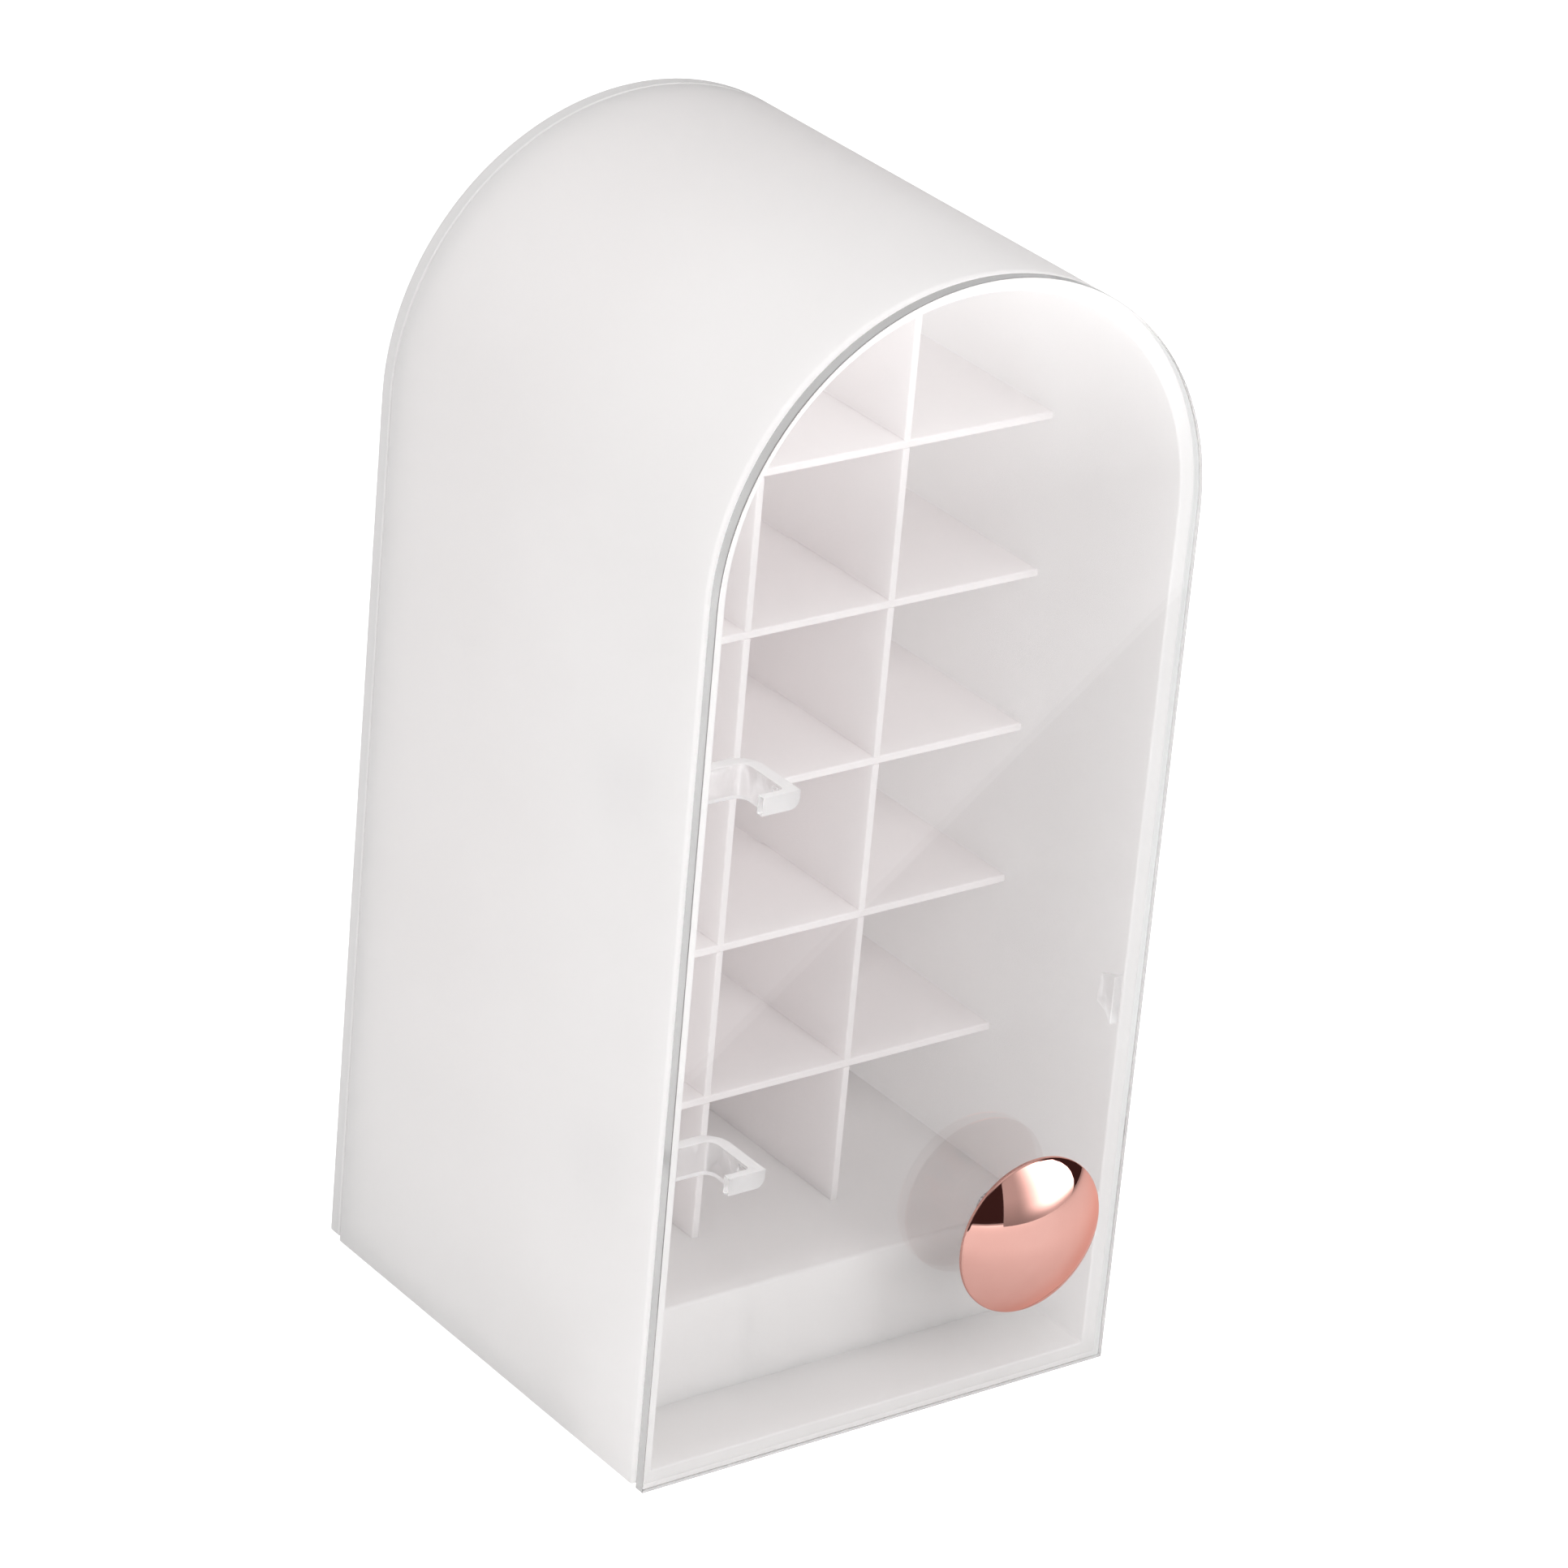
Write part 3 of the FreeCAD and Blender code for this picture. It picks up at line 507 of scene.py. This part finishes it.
# A moulded fitting from its CAD mesh: neighbours within the flat angle are
# merged, and every edge over the sharp angle becomes an arc of the edge's size.
def softFitting(name, node, body, s, finishName="clearFitting"):
    work = bmesh.new()
    work.from_mesh(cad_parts[node].data)
    bmesh.ops.remove_doubles(work, verts=work.verts, dist=mergeReach)
    bmesh.ops.dissolve_limit(work, angle_limit=math.radians(s["flatAngle"]),
                             verts=work.verts, edges=work.edges)
    sharp = [edge for edge in work.edges if edge.calc_face_angle(0) > math.radians(s["sharpAngle"])]
    bmesh.ops.bevel(work, geom=sharp, offset=s["edge"] * mm, segments=s["steps"], profile=0.5,
                    affect="EDGES", clamp_overlap=True)
    points = np.array([vertex.co for vertex in work.verts]) / mm
    work.verts.index_update()
    faces = [[vertex.index for vertex in face.verts] for face in work.faces]
    work.free()
    return makePiece(name, [(points, faces)], finish[finishName], body, [node])


hookSizes = {**softSizes, "edge": 0.32}


# A fitting's level faces, which take a painted highlight.
def levelFaces(normal, centre):
    return abs(normal[:, 2]) > softSizes["squareFacing"]


# Its level faces and its rounded edges, which take a painted highlight.
def levelOrRounded(normal, centre):
    return levelFaces(normal, centre) | (abs(normal).max(1) < softSizes["bevelFacing"])


# The face that a fitting is glued to the door by.
def onDoor(normal, centre):
    near = centre[:, 1] < doorSizes["back"] + softSizes["onDoorReach"]
    return near & (normal[:, 1] < -softSizes["squareFacing"])


for place in ("lower", "upper"):
    arm = softFitting("goose_neck_" + place, "hinge_arm_" + place, "door", softSizes)
    # The arm's level faces are painted white as a highlight.
    finishFaces(arm, finish["paintedHighlight"], levelFaces)
    finishFaces(arm, finish["milkyFitting"], onDoor)
    softFitting("hinge_leaf_" + place, "hinge_bracket_" + place, "cabinet", softSizes)
hook = softFitting("hook_tongue", "door_hook", "door", hookSizes, "milkyFitting")
# The hook's level faces and rounded edges are painted white as a highlight.
finishFaces(hook, finish["paintedHighlight"], levelOrRounded)

knobSizes = {
    "x": 25.6, "z": 40.6, "door": -48.25, "radius": 16.5, "stem": 8.2, "rim": 0.9, "dome": 5.9,
    "footRadius": 6.5, "footBand": 1.2, "neck": 4.6, "neckStart": 3.4, "flare": 1.8,
    "tap": 2.02, "tapDeep": 6.0, "tapPoint": 1.5, "edge": 0.3, "lip": 0.75,
    "domeSteps": 71,
    "bends": (0.8, 0.6, 1.2, 0.6, 0.2),  # from the cap's underside to the foot on the door
}


# The knob's section: an arc of a ball for the dome, whose radius is (r * r +
# h * h) / 2h, then the edge band, the flared neck, the foot and the tapped hole.
def knobProfile(s):
    under = s["door"] - s["stem"]
    band = under - s["rim"]
    ball = (s["radius"] ** 2 + s["dome"] ** 2) / (2 * s["dome"])
    reach = math.asin(s["radius"] / ball)
    turn = np.linspace(0, reach, s["domeSteps"] + 1)
    crown = np.column_stack([ball * np.sin(turn), band - s["dome"] + ball * (1 - np.cos(turn))])
    stem = [(s["radius"], under), (s["neck"] + s["flare"], under), (s["neck"], under + s["flare"]),
            (s["neck"], s["door"] - s["neckStart"]), (s["footRadius"], s["door"] - s["footBand"]),
            (s["footRadius"], s["door"]), (s["tap"], s["door"]), (s["tap"], s["door"] - s["tapDeep"]),
            (0, s["door"] - s["tapDeep"] - s["tapPoint"])]
    corners = np.vstack([crown, stem])
    last = len(crown) - 1
    return roundCorners(corners, dict(enumerate((s["lip"], s["edge"], *s["bends"]), start=last)))


makePiece("knob_cap", [turnedShell(knobProfile(knobSizes), knobSizes["x"], knobSizes["z"])],
          finish["roseGold"], "door", ["knob"])
print("door, hinge arms and knob made")

# CAD pieces that stay as they are and get a finish.
keptNodes = {
    "raised_base": "casingPlastic",
    "hinge_pin_lower": "screwSteel", "hinge_pin_upper": "screwSteel",
    "foot_front_left": "clearSilicone", "foot_front_right": "clearSilicone",
    "foot_back_left": "clearSilicone", "foot_back_right": "clearSilicone",
    "knob_washer": "screwSteel", "knob_screw": "screwSteel",
}
for node, finishName in keptNodes.items():
    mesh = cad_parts[node].data
    for index in range(len(mesh.materials)):
        mesh.materials[index] = finish[finishName]
print("CAD pieces finished:", len(keptNodes))

studio = {
    "floorHalf": 20, "floorTint": (0.94, 0.94, 0.94), "floorRough": 0.9, "floorGlow": 0.85,
    "mirrorGlow": 0.36, "glowNear": 0.02, "glowFar": 0.17,
    "skyStrength": 0.15, "glassRoom": 0.78, "roomLight": (0.9, 0.9, 0.9), "roomDark": (0.057, 0.030, 0.029),
    "roomBack": (0.35, 0.6), "roomTop": (0.72, 0.9),
    "cardDistance": 0.8, "cardFade": (0.09, 0.72), "cardBright": 4.5, "cardDim": (0.40, 0.72),
    "cardRise": 0.3, "cardFoot": (0.02, 0.2), "cardFootShare": 0.12,
    "bounceStart": (0.059, -0.187), "bounceEnd": (0.285, -0.325), "bounceHeight": 0.0005,
    "bounceBefore": 0.4, "bounceBeyond": 1.2, "bounceReach": 1.6, "bounceBright": 0.63,
    "veilNear": -0.395, "veilFar": -0.52, "veilBright": 3.8,
}


# A flat card or floor that belongs to the studio and not to the object.
def stageMesh(name, points, faces):
    mesh = bpy.data.meshes.new(name)
    mesh.from_pydata(points, [], faces)
    card = bpy.data.objects.new(name, mesh)
    scene.collection.objects.link(card)
    return card


# A material that only gives off light.
def glowMaterial(name, strength):
    material = bpy.data.materials.new(name)
    material.use_nodes = True
    nodes = material.node_tree.nodes
    nodes.remove(nodes["Principled BSDF"])
    glow = addNode(material, "ShaderNodeEmission", Strength=strength)
    join(material, glow, "Emission", nodes["Material Output"], "Surface")
    return material, glow


# A card that lights nothing and is seen in gloss alone.
def onlyInReflections(card):
    card.visible_camera = False
    card.visible_diffuse = False
    card.visible_transmission = False
    card.visible_volume_scatter = False
    card.visible_shadow = False


floorCorners = [(studio["floorHalf"] * x, studio["floorHalf"] * y, 0)
                for x, y in ((-1, -1), (1, -1), (1, 1), (-1, 1))]
floor = stageMesh("floor", floorCorners, [(0, 1, 2, 3)])
floorMaterial = bpy.data.materials.new("paleFloor")
floorMaterial.use_nodes = True
floorShader = floorMaterial.node_tree.nodes["Principled BSDF"]
floorShader.inputs["Base Color"].default_value = (*studio["floorTint"], 1)
floorShader.inputs["Roughness"].default_value = studio["floorRough"]
floorShader.inputs["Specular IOR Level"].default_value = 0.0
floorShader.inputs["Emission Color"].default_value = (1, 1, 1, 1)
floorRay = addNode(floorMaterial, "ShaderNodeLightPath")
floorPlace = addNode(floorMaterial, "ShaderNodeTexCoord")
floorReach = addNode(floorMaterial, "ShaderNodeVectorMath", operation="LENGTH")
floorFade = addNode(floorMaterial, "ShaderNodeMapRange", interpolation_type="SMOOTHSTEP",
                    From_Min=studio["glowNear"], From_Max=studio["glowFar"], To_Max=studio["mirrorGlow"])
floorMirror = addNode(floorMaterial, "ShaderNodeMath", operation="SUBTRACT", use_clamp=True)
floorShare = addNode(floorMaterial, "ShaderNodeMath", operation="MULTIPLY")
floorGlow = addNode(floorMaterial, "ShaderNodeMath", operation="MULTIPLY_ADD")
floorGlow.inputs[1].default_value = studio["floorGlow"]
join(floorMaterial, floorPlace, "Object", floorReach, 0)
join(floorMaterial, floorReach, "Value", floorFade, "Value")
join(floorMaterial, floorRay, "Is Glossy Ray", floorMirror, 0)
join(floorMaterial, floorRay, "Is Transmission Ray", floorMirror, 1)
join(floorMaterial, floorMirror, "Value", floorShare, 0)
join(floorMaterial, floorFade, "Result", floorShare, 1)
join(floorMaterial, floorRay, "Is Camera Ray", floorGlow, 0)
join(floorMaterial, floorShare, "Value", floorGlow, 2)
join(floorMaterial, floorGlow, "Value", floorShader, "Emission Strength")
floor.data.materials.append(floorMaterial)

# A softbox in front, to the right, as (x, z) in metres: the knob shows it as a
# white patch that fades to the left and toward its foot.
cardOutline = [(-0.09, 0.0), (1.35, 0.0), (1.70, 0.06), (1.92, 0.18), (1.95, 0.36), (1.82, 0.50),
               (1.55, 0.64), (1.15, 0.76), (0.6, 0.80), (-0.06, 0.80)]
cardY = knobSizes["door"] * mm - studio["cardDistance"]
reflected = stageMesh("softbox_card", [(x, cardY, z) for x, z in cardOutline],
                      [tuple(range(len(cardOutline)))])
cardMaterial, cardGlow = glowMaterial("softboxGlow", 1.0)
cardPlace = addNode(cardMaterial, "ShaderNodeTexCoord")
cardSplit = addNode(cardMaterial, "ShaderNodeSeparateXYZ")
cardSide = addNode(cardMaterial, "ShaderNodeMapRange", interpolation_type="SMOOTHSTEP",
                   From_Min=studio["cardFade"][0], From_Max=studio["cardFade"][1])
cardFoot = addNode(cardMaterial, "ShaderNodeMapRange", interpolation_type="SMOOTHSTEP",
                   From_Min=studio["cardFoot"][0], From_Max=studio["cardFoot"][1],
                   To_Min=studio["cardFootShare"] * studio["cardBright"], To_Max=studio["cardBright"])
cardDim = addNode(cardMaterial, "ShaderNodeMapRange", From_Max=studio["cardRise"],
                  To_Min=studio["cardDim"][0], To_Max=studio["cardDim"][1])
cardSum = addNode(cardMaterial, "ShaderNodeMath", operation="MULTIPLY_ADD")
join(cardMaterial, cardPlace, "Object", cardSplit, "Vector")
join(cardMaterial, cardSplit, "X", cardSide, "Value")
join(cardMaterial, cardSplit, "Z", cardFoot, "Value")
join(cardMaterial, cardSplit, "Z", cardDim, "Value")
join(cardMaterial, cardSide, "Result", cardSum, 0)
join(cardMaterial, cardFoot, "Result", cardSum, 1)
join(cardMaterial, cardDim, "Result", cardSum, 2)
join(cardMaterial, cardSum, "Value", cardGlow, "Strength")
reflected.data.materials.append(cardMaterial)
onlyInReflections(reflected)

# A bright card on the floor beyond a slanting line: the door shows its edge.
bounceStart = Vector((*studio["bounceStart"], studio["bounceHeight"]))
bounceEnd = Vector((*studio["bounceEnd"], studio["bounceHeight"]))
bounceLine = (bounceEnd - bounceStart).normalized()
bounceAway = Vector((bounceLine.y, -bounceLine.x, 0)) * studio["bounceReach"]
bounceFrom = bounceStart - bounceLine * studio["bounceBefore"]
bounceTo = bounceEnd + bounceLine * studio["bounceBeyond"]
bounceCorners = [bounceFrom, bounceTo, bounceTo + bounceAway, bounceFrom + bounceAway]
bounce = stageMesh("bounce_card", bounceCorners, [(0, 1, 2, 3)])
bounceMaterial, bounceGlow = glowMaterial("bounceGlow", 1.0)
bouncePlace = addNode(bounceMaterial, "ShaderNodeTexCoord")
bounceSplit = addNode(bounceMaterial, "ShaderNodeSeparateXYZ")
bounceVeil = addNode(bounceMaterial, "ShaderNodeMapRange",
                     From_Min=studio["veilNear"], From_Max=studio["veilFar"],
                     To_Min=studio["bounceBright"], To_Max=studio["veilBright"])
join(bounceMaterial, bouncePlace, "Object", bounceSplit, "Vector")
join(bounceMaterial, bounceSplit, "Y", bounceVeil, "Value")
join(bounceMaterial, bounceVeil, "Result", bounceGlow, "Strength")
seeThrough = addNode(bounceMaterial, "ShaderNodeBsdfTransparent")
added = addNode(bounceMaterial, "ShaderNodeAddShader")
join(bounceMaterial, bounceGlow, "Emission", added, 0)
join(bounceMaterial, seeThrough, "BSDF", added, 1)
join(bounceMaterial, added, "Shader", bounceMaterial.node_tree.nodes["Material Output"], "Surface")
bounce.data.materials.append(bounceMaterial)
onlyInReflections(bounce)
bounce.visible_transmission = True
doorOnly = bpy.data.collections.new("doorOnly")
doorOnly.objects.link(door)
bounce.light_linking.receiver_collection = doorOnly


lamps = {
    "overhead_softbox": {"place": (0.1, 0.3, 1.7), "aim": (0.1, 0.3, 0.0), "size": 1.6, "power": 12.2},
    "front_softbox": {"place": (-0.25, -1.5, 0.9), "aim": (0.0, 0.0, 0.12), "size": 1.2, "power": 21.4},
    "camera_softbox": {"place": (-0.95, -1.2, 0.9), "aim": (0.0, 0.0, 0.12), "size": 0.8, "power": 0.6},
    "left_softbox": {"place": (-1.6, 0.1, 0.5), "aim": (0.0, 0.0, 0.12), "size": 1.2, "power": 11.7},
    "rear_softbox": {"place": (0.1, 1.6, 0.6), "aim": (0.0, 0.0, 0.12), "size": 1.2, "power": 2.2},
    "right_softbox": {"place": (1.6, -0.1, 0.5), "aim": (0.0, 0.0, 0.12), "size": 1.2, "power": 0.5},
}


# A square lamp turned to face its aim, kept out of sight, of the mirrors and of the glass.
def softLamp(name, look):
    lamp = bpy.data.lights.new(name, "AREA")
    lamp.size = look["size"]
    lamp.energy = look["power"]
    holder = bpy.data.objects.new(name, lamp)
    facing = (Vector(look["aim"]) - Vector(look["place"])).to_track_quat("-Z", "Y")
    holder.matrix_world = Matrix.Translation(look["place"]) @ facing.to_matrix().to_4x4()
    holder.visible_camera = False
    holder.visible_glossy = False
    holder.visible_transmission = False
    scene.collection.objects.link(holder)


for name, look in lamps.items():
    softLamp(name, look)

# The room: even soft light, but a mirror that looks to the front sees it dark, and
# glass that bends a ray out of the scene sees it grey.
world = bpy.data.worlds.new("studioRoom")
world.use_nodes = True
scene.world = world
sky = world.node_tree.nodes["Background"]
sky.inputs["Color"].default_value = (1, 1, 1, 1)
sky.inputs["Strength"].default_value = studio["skyStrength"]
room = addNode(world, "ShaderNodeBackground")
glassRoom = addNode(world, "ShaderNodeBackground", Strength=studio["glassRoom"])
glassRoom.inputs["Color"].default_value = (1, 1, 1, 1)
direction = addNode(world, "ShaderNodeTexCoord")
split = addNode(world, "ShaderNodeSeparateXYZ")
lighter = addNode(world, "ShaderNodeMath", operation="MAXIMUM")
roomTint = addNode(world, "ShaderNodeValToRGB")
join(world, direction, "Generated", split, "Vector")
for slot, (axis, key) in enumerate((("Y", "roomBack"), ("Z", "roomTop"))):
    ramp = addNode(world, "ShaderNodeMapRange", From_Min=studio[key][0], From_Max=studio[key][1])
    join(world, split, axis, ramp, "Value")
    join(world, ramp, "Result", lighter, slot)
for element, key in zip(roomTint.color_ramp.elements, ("roomDark", "roomLight")):
    element.color = (*studio[key], 1)
join(world, lighter, "Value", roomTint, "Fac")
join(world, roomTint, "Color", room, "Color")
ray = addNode(world, "ShaderNodeLightPath")
mirrored = mixShaders(world, sky, room)
seen = mixShaders(world, mirrored, glassRoom)
join(world, ray, "Is Glossy Ray", mirrored, "Fac")
join(world, ray, "Is Transmission Ray", seen, "Fac")
join(world, seen, "Shader", world.node_tree.nodes["World Output"], "Surface")

# The place, and the right and forward directions, fitted to the photograph.
cameraFit = {
    "place": (-0.71719, -0.93228, 0.67799), "right": (0.81298, -0.57651, 0.08190),
    "forward": (0.55056, 0.71524, -0.43048), "focal": 8420.9, "picture": 1932,
    "sensor": 36.0, "near": 0.01,
}
lens = bpy.data.cameras.new("photo_camera")
lens.sensor_width = cameraFit["sensor"]
lens.lens = cameraFit["sensor"] * cameraFit["focal"] / cameraFit["picture"]
lens.clip_start = cameraFit["near"]
camera = bpy.data.objects.new("photo_camera", lens)
right = Vector(cameraFit["right"]).normalized()
back = -Vector(cameraFit["forward"]).normalized()
turned = Matrix((right, back.cross(right), back)).transposed().to_4x4()
camera.matrix_world = Matrix.Translation(cameraFit["place"]) @ turned
scene.collection.objects.link(camera)
scene.camera = camera

scene.view_settings.view_transform = "Standard"
scene.cycles.use_denoising = True
scene.cycles.max_bounces = 40
scene.cycles.diffuse_bounces = 12
scene.cycles.glossy_bounces = 32
scene.cycles.transmission_bounces = 40
scene.cycles.transparent_max_bounces = 16
print("studio and camera set")
